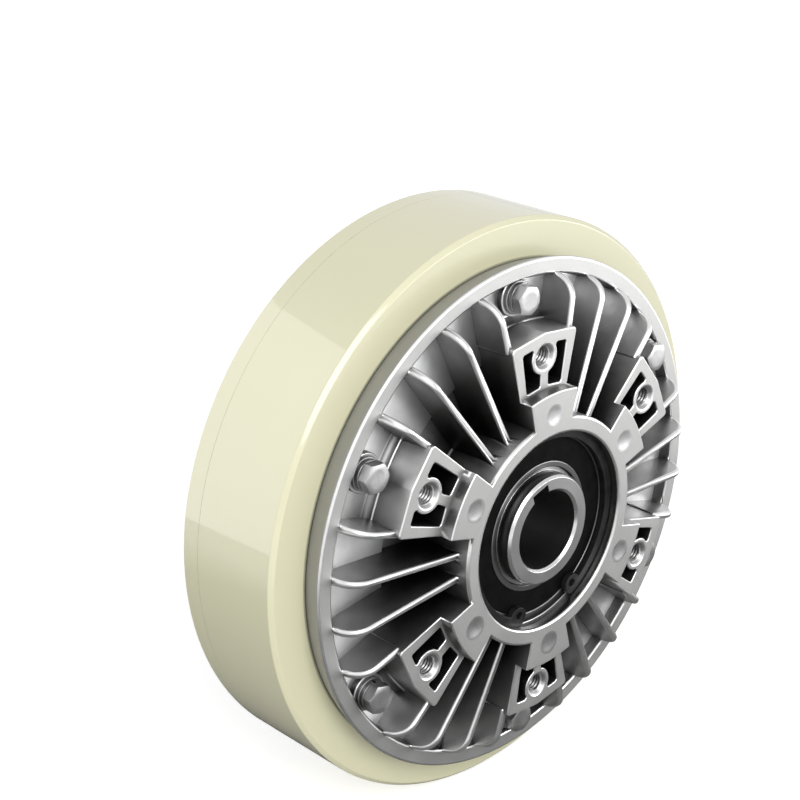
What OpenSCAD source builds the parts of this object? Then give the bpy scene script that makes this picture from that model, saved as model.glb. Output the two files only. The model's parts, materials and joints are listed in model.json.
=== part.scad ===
// Hollow-shaft magnetic powder brake, flange mounted and cooled by its finned covers.
// The shaft axis lies along Y, the front cover faces -Y and +Z is up.
// The origin is on the axis, half way through the painted yoke ring.

/* [Yoke] */
// Outer diameter of the painted yoke ring
yoke_d = 219; // [200:1:240]
// Width of the painted yoke ring along the axis
yoke_w = 47; // [44:0.5:56]
// Width of the rear ring that closes the coil space
rear_ring_w = 9; // [7:0.5:12]
// Radial thickness of the yoke's outer shell
shell_wall = 17.5; // [15:0.5:19]
// Axial thickness of each magnet pole
pole_w = 13; // [12:0.5:15]
// Radial depth of the poles, from the yoke's outside to the bore that the drum turns in
pole_depth = 43.5; // [42:0.5:45]
// Chamfer on the ring's outer edges
yoke_chamfer = 1.5; // [0.5:0.1:2.5]

/* [Coil] */
// Radial wall of the brass ring between the poles
spacer_wall = 3; // [2:0.25:4]
// Wall of the coil bobbin
bobbin_wall = 1.5; // [1:0.1:2.5]
// Clearance around the bobbin
bobbin_gap = 0.2; // [0.1:0.05:0.5]
// Depth left free above the winding
winding_inset = 1.2; // [0.5:0.1:3]

/* [Rotor] */
// Radial powder gap between the drum and the poles
powder_gap = 1; // [0.8:0.05:1.5]
// Thickness of the powder layer on the poles
powder_t = 0.7; // [0.4:0.05:0.75]
// Radial wall of the drum
drum_wall = 6; // [4:0.5:9]
// Axial gap between the drum and each cover's spigot
drum_end_gap = 1; // [0.8:0.1:2]
// Thickness of the drum's web
web_w = 8; // [6:0.5:11]
// Radial width of the shaft flange that carries the drum
flange_rim = 14; // [12:0.5:18]
// Thickness of the shaft flange
flange_w = 8; // [7:0.5:10]
// Distance of the flange's middle in front of the yoke's middle
flange_shift = 1; // [0:0.5:3]
// Size of the drum screws
rotor_screw_d = 5; // [4:0.5:5.5]
// Diameter of their heads
rotor_head_d = 8.5; // [7:0.1:9]
// Distance of their tips inside the web's back
rotor_tip_gap = 1; // [0.5:0.1:2]
// Number of drum screws
rotor_screws_n = 6; // [4:1:8]

/* [Shaft] */
// Bore of the hollow shaft
bore_d = 30; // [24:0.5:36]
// Wall of the shaft's two ends
shaft_wall = 6; // [5:0.25:8]
// Step from each end up to its bearing seat
seat_step = 1.5; // [0.75:0.25:2]
// Length of each bearing that stands past its seat
seat_short = 1.2; // [0.5:0.1:2]
// Height of the shoulder behind each bearing
core_step = 3.5; // [2.5:0.25:4.5]
// Distance of the shaft's ends behind the hubs' faces
shaft_recess = 1.3; // [0.5:0.1:3]
// Width of the keyway
key_w = 8; // [6:0.5:10]
// Depth of the keyway beyond the bore
key_depth = 3.3; // [2.5:0.1:4]
// Angle of the keyway from straight up, clockwise
key_angle = -16; // [-30:1:30]
// Chamfer on the shaft's end edges
shaft_chamfer = 0.9; // [0.3:0.1:1.2]

/* [Bearings] */
// Radial height of each ball bearing, from its bore to its outside
bearing_section = 15; // [13.5:0.5:17]
// Width of each ball bearing
bearing_w = 16; // [14:0.5:17]
// Diameter of the balls
ball_d = 9; // [8:0.1:9.4]
// Balls in each bearing
ball_n = 12; // [8:1:13]
// Depth of each raceway groove
groove_depth = 1.1; // [0.8:0.05:1.4]
// Thickness of each rubber seal
seal_t = 1; // [0.6:0.1:1.5]
// Distance that each seal lies behind the bearing's face
seal_inset = 0.4; // [0.2:0.1:1]
// Clearance behind each seal
seal_back_gap = 0.1; // [0.05:0.05:0.3]
// Width of the step in the inner ring that a seal runs on
seal_step_in = 1.8; // [1:0.1:2]
// Depth of the groove in the outer ring that holds a seal
seal_step_out = 0.4; // [0.2:0.1:0.8]
// Radial wall of the ball cage
cage_wall = 3.2; // [2.5:0.1:4]
// Width of the cage on each side of the balls
cage_rim = 0.7; // [0.5:0.1:0.9]
// Clearance of a ball in its pocket
pocket_gap = 0.1; // [0.05:0.05:0.2]
// Clearance of a part that turns on another
running_gap = 0.05; // [0.02:0.01:0.1]

/* [Retaining rings] */
// Thickness of the ring that holds each bearing
circlip_t = 2.5; // [1.5:0.1:3]
// Depth of its groove in the bore
circlip_groove = 1.5; // [1:0.1:2]
// Clearance of the ring in its groove
circlip_gap = 0.1; // [0.05:0.05:0.3]
// Radial width of the ring's back
circlip_width = 4.6; // [3.5:0.1:5.5]
// Angle of the middle of its gap, clockwise from the top as seen from the front
circlip_angle = 176; // [0:1:359]
// Half of the angle that its back leaves open
circlip_open_angle = 24; // [18:1:35]
// Angle from each end of the back to the middle of its ear
circlip_ear_lead = 2; // [0:0.5:3]
// Diameter of each ear
circlip_ear_d = 8; // [6:0.1:9]
// Distance that an ear reaches into the groove
circlip_ear_lap = 0.6; // [0.3:0.1:1]
// Diameter of the plier hole in each ear
circlip_hole_d = 3; // [2:0.1:4]
// Distance of the plier hole inside the ear's middle
circlip_hole_inset = 0.8; // [0:0.1:1.5]

/* [Powder seals] */
// Radial step from the bearing's seat to the pocket of the powder seal
seal_ledge = 4.5; // [3.5:0.25:5.5]
// Radial depth of the lip that the seal rests on
seal_lip = 1.5; // [1:0.1:2.5]
// Thickness of that lip
seal_lip_t = 0.8; // [0.6:0.1:1.2]
// Width of the powder seal
powder_seal_w = 4.5; // [3:0.1:5]

/* [Covers] */
// Thickness of each cover's plate
plate_t = 5; // [4:0.25:5.5]
// Drop of the floor inside the pads' circle
floor_drop = 2; // [1:0.25:2.5]
// Distance of the floor's step inside the pads' outer circle
floor_step_inset = 11; // [8:0.5:14]
// Width of the yoke's face left bare round the cover
cover_ledge = 15.3; // [14:0.1:17]
// Flare of the cover's side wall from the yoke to the rim
rim_flare = 3; // [1:0.1:5]
// Width of the rim's face
rim_w = 6.4; // [5:0.1:8]
// Taper of the rim's inner wall
rim_draft = 0.8; // [0.3:0.1:1.5]
// Height of the rim above the yoke's face
rim_h = 9.5; // [8:0.25:11]
// Height of the fins at the hub above the yoke's face
fin_h = 21; // [18:0.25:23]
// Height of the mounting pads above the yoke's face
pad_h = 21.3; // [18:0.1:24]
// Height of the bearing hub above the yoke's face
hub_h = 26.4; // [25.5:0.1:28]
// Distance of the bearing's face behind the hub's face
bearing_inset = 6.2; // [5:0.1:7]
// Radial wall of the bearing hub
hub_wall = 6; // [5:0.25:7]
// Length of the spigot that centres the cover in the poles
spigot_h = 3; // [2:0.25:4]
// Radial wall of the spigot
spigot_wall = 4; // [3:0.25:5]
// Clearance of the spigot in the pole bore
spigot_gap = 0.03; // [0.02:0.01:0.05]
// Small chamfer on machined and cast edges
edge = 0.6; // [0.3:0.05:0.9]

/* [Fins] */
// Thickness of a fin at its foot
fin_foot = 3.6; // [3:0.1:4.4]
// Thickness of a fin at its crest
fin_crest = 2.5; // [2:0.1:2.8]
// Angle of the long fins from each pad's middle
long_fin_angle = 24; // [22:0.5:25]
// Angle of the short fins from each pad's middle
short_fin_angle = 12.3; // [11:0.1:13]
// Fall of a fin's crest from the hub to its rounded end
fin_slope = 2.2; // [0.5:0.1:4]
// Length of a fin's rounded end
fin_round = 8.5; // [6:0.5:12]

/* [Pads] */
// Number of mounting pads, tabs and cover bolts
pads_n = 6; // [6:1:6]
// Distance of the pads' outer circle inside the circle of the cover bolts
pad_inset = 9.5; // [9:0.1:11]
// Half angle of a pad
pad_half_angle = 13; // [12:0.1:13.4]
// Rounding of a pad's corners
pad_corner = 1.6; // [0.8:0.1:2.5]
// Half angle of a pad's windows
window_half_angle = 9.3; // [8:0.1:9.8]
// Rounding of the windows' corners
window_corner = 1; // [0.5:0.1:1.2]
// Outer wall of a pad
pad_outer_wall = 4.2; // [3:0.1:5]
// Wall of a pad next to its tab
pad_inner_wall = 1.4; // [1:0.1:2.5]
// Distance of each mounting thread outside the middle of its pad
mount_offset = 1.5; // [0.5:0.1:2.5]
// Core diameter of the mounting threads
mount_hole_d = 6.8; // [5:0.1:7]
// Depth of the mounting threads
mount_hole_depth = 14; // [8:0.5:15]
// Diameter of the countersink at each thread
mount_sink_d = 9.8; // [8:0.1:11]
// Diameter of the boss round each thread
mount_boss_d = 13; // [12:0.1:14]
// Width of the rib between the boss and the tab
pad_rib_w = 4; // [2.5:0.1:5]
// Fillet at the foot of each pad's outer wall
pad_foot = 3; // [1.5:0.25:4]

/* [Tabs] */
// How often a tab's length fits between the hub and the pads' outer circle
tab_part = 3; // [2.5:0.1:4]
// Half angle of a tab
tab_half_angle = 13; // [11.5:0.1:13.5]
// Diameter of the round dimple on each tab
mark_d = 9; // [6:0.1:10]
// Depth of that dimple
mark_depth = 0.5; // [0.2:0.05:0.8]
// Distance of its middle outside the hub
mark_offset = 2.2; // [0:0.1:5]

/* [Cover bolts] */
// Distance of the bolts' circle inside the rim
bolt_inset = 6.3; // [6:0.1:7.5]
// Size of the cover bolts
bolt_d = 6; // [5:0.25:6.5]
// Width of a bolt head across its flats
head_af = 10; // [9:0.25:11]
// Height of a bolt head
head_h = 4; // [3:0.1:5]
// Turn of the bolt heads
head_turn = 20; // [0:1:59]
// Depth that a bolt screws into the yoke
bolt_engage = 9; // [7:0.25:10]
// Depth of the hole past the bolt's tip
bolt_tip_gap = 1; // [0.5:0.1:1.5]
// Diameter of the flat washers
washer_d = 12.5; // [11:0.25:13]
// Thickness of the flat washers
washer_t = 1.2; // [0.8:0.05:1.6]
// Radial clearance of a flat washer on its bolt
washer_gap = 0.2; // [0.1:0.05:0.4]
// Outer diameter of the spring washers
spring_washer_d = 10.6; // [9.5:0.1:11.5]
// Thickness of the spring washers
spring_washer_t = 1.5; // [1.2:0.05:2]
// Radial clearance of a spring washer on its bolt
spring_gap = 0.15; // [0.1:0.05:0.4]
// Width of the slit in a spring washer
spring_slit = 1; // [0.5:0.1:1.5]
// Diameter of the cast boss under each bolt
bolt_boss_d = 14.4; // [13.5:0.1:15.5]
// Drop of the machined seat under each bolt below the rim
seat_drop = 2.1; // [1:0.1:3]
// Width of that seat outside the washer
seat_margin = 0.4; // [0.2:0.1:0.8]
// Radial clearance of a bolt in the cover
bolt_gap = 0.3; // [0.15:0.05:0.4]
// Radial clearance of a thread
thread_gap = 0.03; // [0.02:0.01:0.05]

/* [Lead inlet] */
// Distance of the lead inlet inside the yoke's shell
inlet_inset = 9; // [8:0.5:12]
// Angle of the lead inlet on the rear cover, clockwise from the top as seen from the front
inlet_angle = 210; // [210:60:330]
// Bore of the rubber grommet
inlet_bore_d = 4.6; // [3:0.1:5]
// Diameter of the grommet's body
grommet_d = 7.4; // [7:0.1:8.5]
// Diameter of the grommet's collar
grommet_collar_d = 9.6; // [9:0.1:11]
// Thickness of the grommet's collar
grommet_collar_t = 1.6; // [1:0.1:2.5]

/* [Hidden] */
$fn = 96;

// How far a cutting shape runs past what it cuts
cut = 0.5;
// How far a shape reaches into the one that it joins
lap = 1;
quarter = 90;

// Yoke, coil and rotor
yoke_r = yoke_d / 2;
half_w = yoke_w / 2;
joint_z = -half_w + rear_ring_w;
shell_r = yoke_r - shell_wall;
pole_r = yoke_r - pole_depth;
coil_half = half_w - pole_w;
spacer_r = pole_r + spacer_wall;
drum_r = pole_r - powder_gap;
drum_half = half_w - spigot_h - drum_end_gap;
web_front_z = flange_shift - flange_w / 2;
web_back_z = web_front_z - web_w;

// Shaft and bearings
bore_r = bore_d / 2;
end_r = bore_r + shaft_wall;
seat_r = end_r + seat_step;
core_r = seat_r + core_step;
flange_r = core_r + flange_rim;
rotor_screw_r = core_r + flange_rim / 2;
bearing_r = seat_r + bearing_section;
ball_r = ball_d / 2;
pitch_r = seat_r + bearing_section / 2;
race_in = pitch_r - ball_r + groove_depth;
race_out = pitch_r + ball_r - groove_depth;
seal_seat_in = race_in - seal_step_in;
seal_seat_out = race_out + seal_step_out;

// Heights of the front cover and what it holds
rim_z = half_w + rim_h;
fin_z = half_w + fin_h;
pad_z = half_w + pad_h;
hub_z = half_w + hub_h;
floor_z = half_w + plate_t;
deep_floor_z = floor_z - floor_drop;
foot_z = deep_floor_z - lap;
inner_face_z = half_w - floor_drop;
bearing_z = hub_z - bearing_inset;
bearing_mid_z = bearing_z - bearing_w / 2;
shoulder_z = bearing_z - bearing_w;
shaft_end_z = hub_z - shaft_recess;
seal_stop_z = shoulder_z - seal_lip_t;
powder_seal_z = seal_stop_z - powder_seal_w;
seat_z = rim_z - seat_drop;
head_z = seat_z + washer_t + spring_washer_t;

// Radii of the front cover, from the yoke inwards and from the bearing outwards
cover_base_r = yoke_r - cover_ledge;
cover_rim_r = cover_base_r + rim_flare;
rim_inner_r = cover_rim_r - rim_w;
bolt_r = rim_inner_r - bolt_inset;
pad_outer_r = bolt_r - pad_inset;
floor_step_r = pad_outer_r - floor_step_inset;
hub_r = bearing_r + hub_wall;
tab_r = hub_r + (pad_outer_r - hub_r) / tab_part;
mount_r = (tab_r + pad_outer_r) / 2 + mount_offset;
spigot_r = pole_r - spigot_gap;
seal_pocket_r = bearing_r - seal_ledge;
inlet_r = shell_r - inlet_inset;
pad_step = 360 / pads_n;

// Turns the axial build frame into the part's frame, front towards -Y
module stand() {
    rotate([quarter, 0, 0]) children();
}

// Places a shape that was drawn along +X at a clockwise angle from the top
module at_angle(a) {
    rotate([0, 0, quarter - a]) children();
}

module round_pattern(n) {
    for (i = [0 : n - 1]) at_angle(i * 360 / n) children();
}

// Flat ring sector about +X
module sector(r_in, r_out, half_angle) {
    reach = r_out / cos(half_angle) + lap;
    intersection() {
        difference() {
            circle(r = r_out);
            circle(r = r_in);
        }
        polygon([
            [0, 0],
            [reach * cos(half_angle), -reach * sin(half_angle)],
            [reach * cos(half_angle), reach * sin(half_angle)]
        ]);
    }
}

// Rounds the convex corners of a flat shape
module rounded(r) {
    offset(r = r, $fn = 24) offset(delta = -r) children();
}

module tube(r_in, r_out, z_low, z_high) {
    translate([0, 0, z_low]) difference() {
        cylinder(r = r_out, h = z_high - z_low);
        translate([0, 0, -cut]) cylinder(r = r_in, h = z_high - z_low + 2 * cut);
    }
}

// Steel yoke: the outer shell with the front pole, open to the rear
module front_yoke() {
    hole_depth = bolt_engage + bolt_tip_gap;
    color([0.93, 0.92, 0.80]) stand() difference() {
        rotate_extrude() polygon([
            [pole_r, coil_half], [shell_r, coil_half], [shell_r, joint_z], [yoke_r, joint_z],
            [yoke_r, half_w - yoke_chamfer], [yoke_r - yoke_chamfer, half_w], [pole_r, half_w]
        ]);
        round_pattern(pads_n) translate([bolt_r, 0, half_w - hole_depth])
            cylinder(d = bolt_d, h = hole_depth + cut);
    }
}

// Rear ring with the second pole, pressed into the shell on its spigot
module rear_yoke() {
    hole_depth = bolt_engage + bolt_tip_gap;
    color([0.93, 0.92, 0.80]) stand() difference() {
        rotate_extrude() polygon([
            [pole_r, -half_w], [yoke_r - yoke_chamfer, -half_w], [yoke_r, -half_w + yoke_chamfer],
            [yoke_r, joint_z], [shell_r, joint_z], [shell_r, -coil_half], [pole_r, -coil_half]
        ]);
        round_pattern(pads_n) translate([bolt_r, 0, -half_w - cut])
            cylinder(d = bolt_d, h = hole_depth + cut);
        at_angle(inlet_angle) translate([inlet_r, 0, -half_w - cut])
            cylinder(d = inlet_bore_d, h = pole_w + 2 * cut);
    }
}

// Non-magnetic ring that closes the coil space towards the powder
module pole_spacer_ring() {
    color([0.78, 0.62, 0.30]) stand() tube(pole_r, spacer_r, -coil_half, coil_half);
}

module coil_bobbin() {
    inner = spacer_r + bobbin_gap;
    outer = shell_r - bobbin_gap;
    top = coil_half - bobbin_gap;
    color([0.16, 0.17, 0.18]) stand() difference() {
        tube(inner, outer, -top, top);
        tube(inner + bobbin_wall, outer + cut, -top + bobbin_wall, top - bobbin_wall);
        at_angle(inlet_angle) translate([inlet_r, 0, -top - cut])
            cylinder(d = inlet_bore_d, h = bobbin_wall + 2 * cut);
    }
}

module coil_winding() {
    inner = spacer_r + bobbin_gap + bobbin_wall;
    outer = shell_r - bobbin_gap - winding_inset;
    side = coil_half - bobbin_gap - bobbin_wall;
    color([0.72, 0.36, 0.16]) stand() tube(inner, outer, -side, side);
}

module powder_layer() {
    color([0.22, 0.22, 0.23]) stand() tube(pole_r - powder_t, pole_r, -drum_half, drum_half);
}

// Section of the cover's body of revolution
module cover_section() {
    lip_r = seal_pocket_r - seal_lip;
    polygon([
        [spigot_r - spigot_wall, half_w - spigot_h], [spigot_r - edge, half_w - spigot_h],
        [spigot_r, half_w - spigot_h + edge], [spigot_r, half_w],
        [cover_base_r, half_w], [cover_rim_r, rim_z - edge], [cover_rim_r - edge, rim_z],
        [rim_inner_r + edge, rim_z], [rim_inner_r, rim_z - edge],
        [rim_inner_r - rim_draft, floor_z], [floor_step_r, floor_z], [floor_step_r - edge, deep_floor_z],
        [hub_r + edge, deep_floor_z], [hub_r, deep_floor_z + edge],
        [hub_r, hub_z - edge], [hub_r - edge, hub_z], [bearing_r + edge, hub_z], [bearing_r, hub_z - edge],
        [bearing_r, shoulder_z], [lip_r, shoulder_z], [lip_r, seal_stop_z], [seal_pocket_r, seal_stop_z],
        [seal_pocket_r, inner_face_z], [spigot_r - spigot_wall, inner_face_z]
    ]);
}

// Section across a fin, wider at its foot
module fin_section() {
    foot = fin_foot / 2;
    crest = fin_crest / 2;
    polygon([[-foot, foot_z - cut], [foot, foot_z - cut], [crest, fin_z + cut], [-crest, fin_z + cut]]);
}

// Fin from r_start out to the rim: its crest falls gently, then rounds down in a quarter ellipse
module fin(r_start) {
    r_end = rim_inner_r + edge;
    r_round = r_end - fin_round;
    base = rim_z - edge;
    round_z = fin_z - fin_slope;
    start_z = fin_z - fin_slope * (r_start - hub_r) / (r_round - hub_r);
    steps = 8;
    outline = concat(
        [[r_start, foot_z], [r_end, foot_z]],
        [for (i = [0 : steps])
            let (t = quarter * (1 - i / steps))
            [r_round + fin_round * sin(t), base + (round_z - base) * cos(t)]],
        [[r_start, start_z]]
    );
    intersection() {
        rotate([quarter, 0, 0]) linear_extrude(height = 2 * fin_foot, center = true) polygon(outline);
        translate([r_start - lap, 0, 0]) rotate([quarter, 0, quarter])
            linear_extrude(height = r_end - r_start + 2 * lap) fin_section();
    }
}

// Long fins reach the hub, and short fins start in the corners of the pads
module fins() {
    for (i = [0 : pads_n - 1]) {
        for (side = [-1, 1]) {
            at_angle(i * pad_step + side * long_fin_angle) fin(hub_r - lap);
            at_angle(i * pad_step + side * short_fin_angle) fin(pad_outer_r - pad_corner - lap);
        }
    }
}

// Mounting pad: a frame with two deep windows round a threaded boss
module pad() {
    window_in = tab_r + pad_inner_wall;
    window_out = pad_outer_r - pad_outer_wall;
    translate([0, 0, foot_z]) linear_extrude(height = pad_z - foot_z) difference() {
        rounded(pad_corner) sector(tab_r - 2 * pad_corner, pad_outer_r, pad_half_angle);
        rounded(window_corner) difference() {
            sector(window_in, window_out, window_half_angle);
            translate([mount_r, 0]) circle(d = mount_boss_d);
            translate([window_in - lap, -pad_rib_w / 2]) square([mount_r - window_in, pad_rib_w]);
        }
    }
}

// Concave fillet at the foot of the pad's outer wall
module pad_fillet() {
    steps = 5;
    arc = [for (i = [0 : steps])
        let (t = quarter * i / steps)
        [pad_outer_r + pad_foot * (1 - sin(t)), floor_z + pad_foot * (1 - cos(t))]];
    intersection() {
        rotate_extrude() polygon(concat(
            [[pad_outer_r - lap, floor_z - lap], [pad_outer_r + pad_foot, floor_z - lap]],
            arc,
            [[pad_outer_r - lap, floor_z + pad_foot]]
        ));
        translate([0, 0, floor_z - 2 * lap]) linear_extrude(height = pad_foot + 4 * lap)
            sector(pad_outer_r - 2 * lap, pad_outer_r + 2 * pad_foot, pad_half_angle - lap);
    }
}

module tab() {
    translate([0, 0, foot_z]) linear_extrude(height = hub_z - foot_z)
        sector(hub_r - edge - lap, tab_r, tab_half_angle);
}

// Thread hole with its countersink, in the pad's face
module mount_hole() {
    sink_h = (mount_sink_d - mount_hole_d) / 2;
    translate([mount_r, 0, pad_z - mount_hole_depth]) cylinder(d = mount_hole_d, h = mount_hole_depth + cut);
    translate([mount_r, 0, pad_z - sink_h]) cylinder(d1 = mount_hole_d, d2 = mount_sink_d, h = sink_h);
}

// Bolt hole with the spot face that its washer lies on
module bolt_seat() {
    translate([bolt_r, 0, half_w - cut]) cylinder(r = bolt_d / 2 + bolt_gap, h = rim_h + 2 * cut);
    translate([bolt_r, 0, seat_z]) cylinder(r = washer_d / 2 + seat_margin, h = seat_drop + cut);
}

// Shallow dished mark in a tab's face
module dimple() {
    r = mark_d / 2;
    ball = (r * r + mark_depth * mark_depth) / (2 * mark_depth);
    translate([hub_r + mark_offset, 0, hub_z - mark_depth + ball]) sphere(r = ball);
}

// Cast and machined cover, drawn as the front one
module cover() {
    difference() {
        union() {
            rotate_extrude() cover_section();
            fins();
            round_pattern(pads_n) {
                pad();
                pad_fillet();
                tab();
                translate([bolt_r, 0, floor_z - lap]) cylinder(d = bolt_boss_d, h = seat_z - floor_z + lap);
            }
        }
        tube(bearing_r - cut, bearing_r + circlip_groove, bearing_z, bearing_z + circlip_t + circlip_gap);
        round_pattern(pads_n) {
            mount_hole();
            bolt_seat();
            dimple();
        }
    }
}

module front_cover() {
    color([0.76, 0.77, 0.78]) stand() cover();
}

// Same casting turned to the rear, drilled for the lead inlet
module rear_cover() {
    color([0.76, 0.77, 0.78]) stand() difference() {
        mirror([0, 0, 1]) cover();
        at_angle(inlet_angle) translate([inlet_r, 0, -floor_z - cut])
            cylinder(d = grommet_d, h = plate_t + 2 * cut);
    }
}

// Hexagon bolts with their shanks in the yoke, drawn as the front set
module cover_bolts() {
    tip_z = half_w - bolt_engage;
    round_pattern(pads_n) translate([bolt_r, 0, 0]) {
        translate([0, 0, head_z]) rotate([0, 0, head_turn])
            cylinder(d = head_af / cos(30), h = head_h, $fn = 6);
        translate([0, 0, tip_z]) cylinder(r = bolt_d / 2 - thread_gap, h = head_z - tip_z);
    }
}

// Split spring washers under the heads
module spring_washers() {
    low = seat_z + washer_t;
    round_pattern(pads_n) translate([bolt_r, 0, 0]) difference() {
        tube(bolt_d / 2 + spring_gap, spring_washer_d / 2, low, head_z);
        translate([0, -spring_slit / 2, low - cut])
            cube([spring_washer_d, spring_slit, spring_washer_t + 2 * cut]);
    }
}

module flat_washers() {
    round_pattern(pads_n) translate([bolt_r, 0, 0])
        tube(bolt_d / 2 + washer_gap, washer_d / 2, seat_z, seat_z + washer_t);
}

module front_cover_bolts() {
    color([0.80, 0.81, 0.82]) stand() cover_bolts();
}

module front_spring_washers() {
    color([0.70, 0.71, 0.72]) stand() spring_washers();
}

module front_flat_washers() {
    color([0.80, 0.81, 0.82]) stand() flat_washers();
}

module rear_cover_bolts() {
    color([0.80, 0.81, 0.82]) stand() mirror([0, 0, 1]) cover_bolts();
}

module rear_spring_washers() {
    color([0.70, 0.71, 0.72]) stand() mirror([0, 0, 1]) spring_washers();
}

module rear_flat_washers() {
    color([0.80, 0.81, 0.82]) stand() mirror([0, 0, 1]) flat_washers();
}

// Ring of a bearing with its raceway groove and a step for each seal
module race(r_in, r_out, seal_low, seal_high) {
    step = seal_inset + seal_t + seal_back_gap;
    difference() {
        tube(r_in, r_out, shoulder_z, bearing_z);
        translate([0, 0, bearing_mid_z])
            rotate_extrude() translate([pitch_r, 0]) circle(r = ball_r + running_gap);
        tube(seal_low, seal_high, bearing_z - step, bearing_z + cut);
        tube(seal_low, seal_high, shoulder_z - cut, shoulder_z + step);
    }
}

module outer_ring() {
    race(race_out, bearing_r, race_out - cut, seal_seat_out);
}

module inner_ring() {
    race(seat_r, race_in, seal_seat_in, race_in + cut);
}

module balls() {
    round_pattern(ball_n) translate([pitch_r, 0, bearing_mid_z]) sphere(r = ball_r);
}

// Ring cage with one pocket for each ball
module cage() {
    inner = pitch_r - cage_wall / 2;
    half_cage = ball_r + cage_rim;
    difference() {
        tube(inner, inner + cage_wall, bearing_mid_z - half_cage, bearing_mid_z + half_cage);
        round_pattern(ball_n) translate([pitch_r - cage_wall, 0, bearing_mid_z]) rotate([0, quarter, 0])
            cylinder(r = ball_r + pocket_gap, h = 2 * cage_wall);
    }
}

// Rubber seals on both faces, fixed in the outer ring
module bearing_seals() {
    low = seal_seat_in + running_gap;
    tube(low, seal_seat_out, bearing_z - seal_inset - seal_t, bearing_z - seal_inset);
    tube(low, seal_seat_out, shoulder_z + seal_inset, shoulder_z + seal_inset + seal_t);
}

// Internal retaining ring with two ears
module circlip() {
    outer = bearing_r + circlip_groove - circlip_gap;
    ear_r = bearing_r - circlip_ear_d / 2 + circlip_ear_lap;
    ear_angle = circlip_open_angle + circlip_ear_lead;
    translate([0, 0, bearing_z]) linear_extrude(height = circlip_t) difference() {
        union() {
            difference() {
                circle(r = outer);
                circle(r = outer - circlip_width);
                at_angle(circlip_angle) sector(0, outer + cut, circlip_open_angle);
            }
            for (side = [-1, 1]) intersection() {
                at_angle(circlip_angle + side * ear_angle) translate([ear_r, 0]) circle(d = circlip_ear_d);
                circle(r = outer);
            }
        }
        for (side = [-1, 1])
            at_angle(circlip_angle + side * ear_angle)
                translate([ear_r - circlip_hole_inset, 0]) circle(d = circlip_hole_d);
    }
}

// Lip seal between the powder space and the bearing
module powder_seal() {
    tube(core_r + running_gap, seal_pocket_r, powder_seal_z, seal_stop_z);
}

module front_bearing_outer_ring() {
    color([0.72, 0.73, 0.75]) stand() outer_ring();
}

module front_bearing_inner_ring() {
    color([0.72, 0.73, 0.75]) stand() inner_ring();
}

module front_bearing_balls() {
    color([0.85, 0.86, 0.88]) stand() balls();
}

module front_bearing_cage() {
    color([0.55, 0.50, 0.38]) stand() cage();
}

module front_bearing_seals() {
    color([0.08, 0.08, 0.08]) stand() bearing_seals();
}

module front_circlip() {
    color([0.10, 0.10, 0.10]) stand() circlip();
}

module front_powder_seal() {
    color([0.12, 0.12, 0.12]) stand() powder_seal();
}

module rear_bearing_outer_ring() {
    color([0.72, 0.73, 0.75]) stand() mirror([0, 0, 1]) outer_ring();
}

module rear_bearing_inner_ring() {
    color([0.72, 0.73, 0.75]) stand() mirror([0, 0, 1]) inner_ring();
}

module rear_bearing_balls() {
    color([0.85, 0.86, 0.88]) stand() mirror([0, 0, 1]) balls();
}

module rear_bearing_cage() {
    color([0.55, 0.50, 0.38]) stand() mirror([0, 0, 1]) cage();
}

module rear_bearing_seals() {
    color([0.08, 0.08, 0.08]) stand() mirror([0, 0, 1]) bearing_seals();
}

module rear_circlip() {
    color([0.10, 0.10, 0.10]) stand() mirror([0, 0, 1]) circlip();
}

module rear_powder_seal() {
    color([0.12, 0.12, 0.12]) stand() mirror([0, 0, 1]) powder_seal();
}

// Hollow shaft with two bearing seats, a flange for the drum and a through keyway
module hollow_shaft() {
    seat_end_z = bearing_z - seat_short;
    half_section = [
        [core_r, shoulder_z], [seat_r, shoulder_z], [seat_r, seat_end_z], [end_r, seat_end_z],
        [end_r, shaft_end_z - shaft_chamfer], [end_r - shaft_chamfer, shaft_end_z],
        [bore_r + shaft_chamfer, shaft_end_z], [bore_r, shaft_end_z - shaft_chamfer]
    ];
    mirrored = [for (i = [len(half_section) - 1 : -1 : 0]) [half_section[i][0], -half_section[i][1]]];
    color([0.66, 0.66, 0.67]) stand() difference() {
        union() {
            rotate_extrude() polygon(concat(half_section, mirrored));
            tube(core_r - lap, flange_r, web_front_z, web_front_z + flange_w);
        }
        at_angle(key_angle) translate([0, -key_w / 2, -shaft_end_z - cut])
            cube([bore_r + key_depth, key_w, 2 * (shaft_end_z + cut)]);
        round_pattern(rotor_screws_n) translate([rotor_screw_r, 0, web_front_z - cut])
            cylinder(r = rotor_screw_d / 2 + bolt_gap, h = flange_w + 2 * cut);
    }
}

// Drum that drags through the powder, on a web bolted to the shaft flange
module rotor_drum() {
    drum_inner_r = drum_r - drum_wall;
    color([0.50, 0.51, 0.53]) stand() difference() {
        union() {
            tube(drum_inner_r, drum_r, -drum_half, drum_half);
            tube(core_r + thread_gap, drum_inner_r + lap, web_back_z, web_front_z);
        }
        round_pattern(rotor_screws_n) translate([rotor_screw_r, 0, web_back_z - cut])
            cylinder(d = rotor_screw_d, h = web_w + 2 * cut);
    }
}

// Socket cap screws through the shaft flange into the web
module rotor_screws() {
    flange_z = web_front_z + flange_w;
    tip_z = web_back_z + rotor_tip_gap;
    socket_r = rotor_head_d / 4;
    color([0.20, 0.20, 0.21]) stand() round_pattern(rotor_screws_n)
        translate([rotor_screw_r, 0, 0]) difference() {
            union() {
                translate([0, 0, flange_z]) cylinder(d = rotor_head_d, h = rotor_screw_d);
                translate([0, 0, tip_z]) cylinder(r = rotor_screw_d / 2 - thread_gap, h = flange_z - tip_z);
            }
            translate([0, 0, flange_z + rotor_screw_d / 2])
                cylinder(r = socket_r, h = rotor_screw_d, $fn = 6);
        }
}

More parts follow.
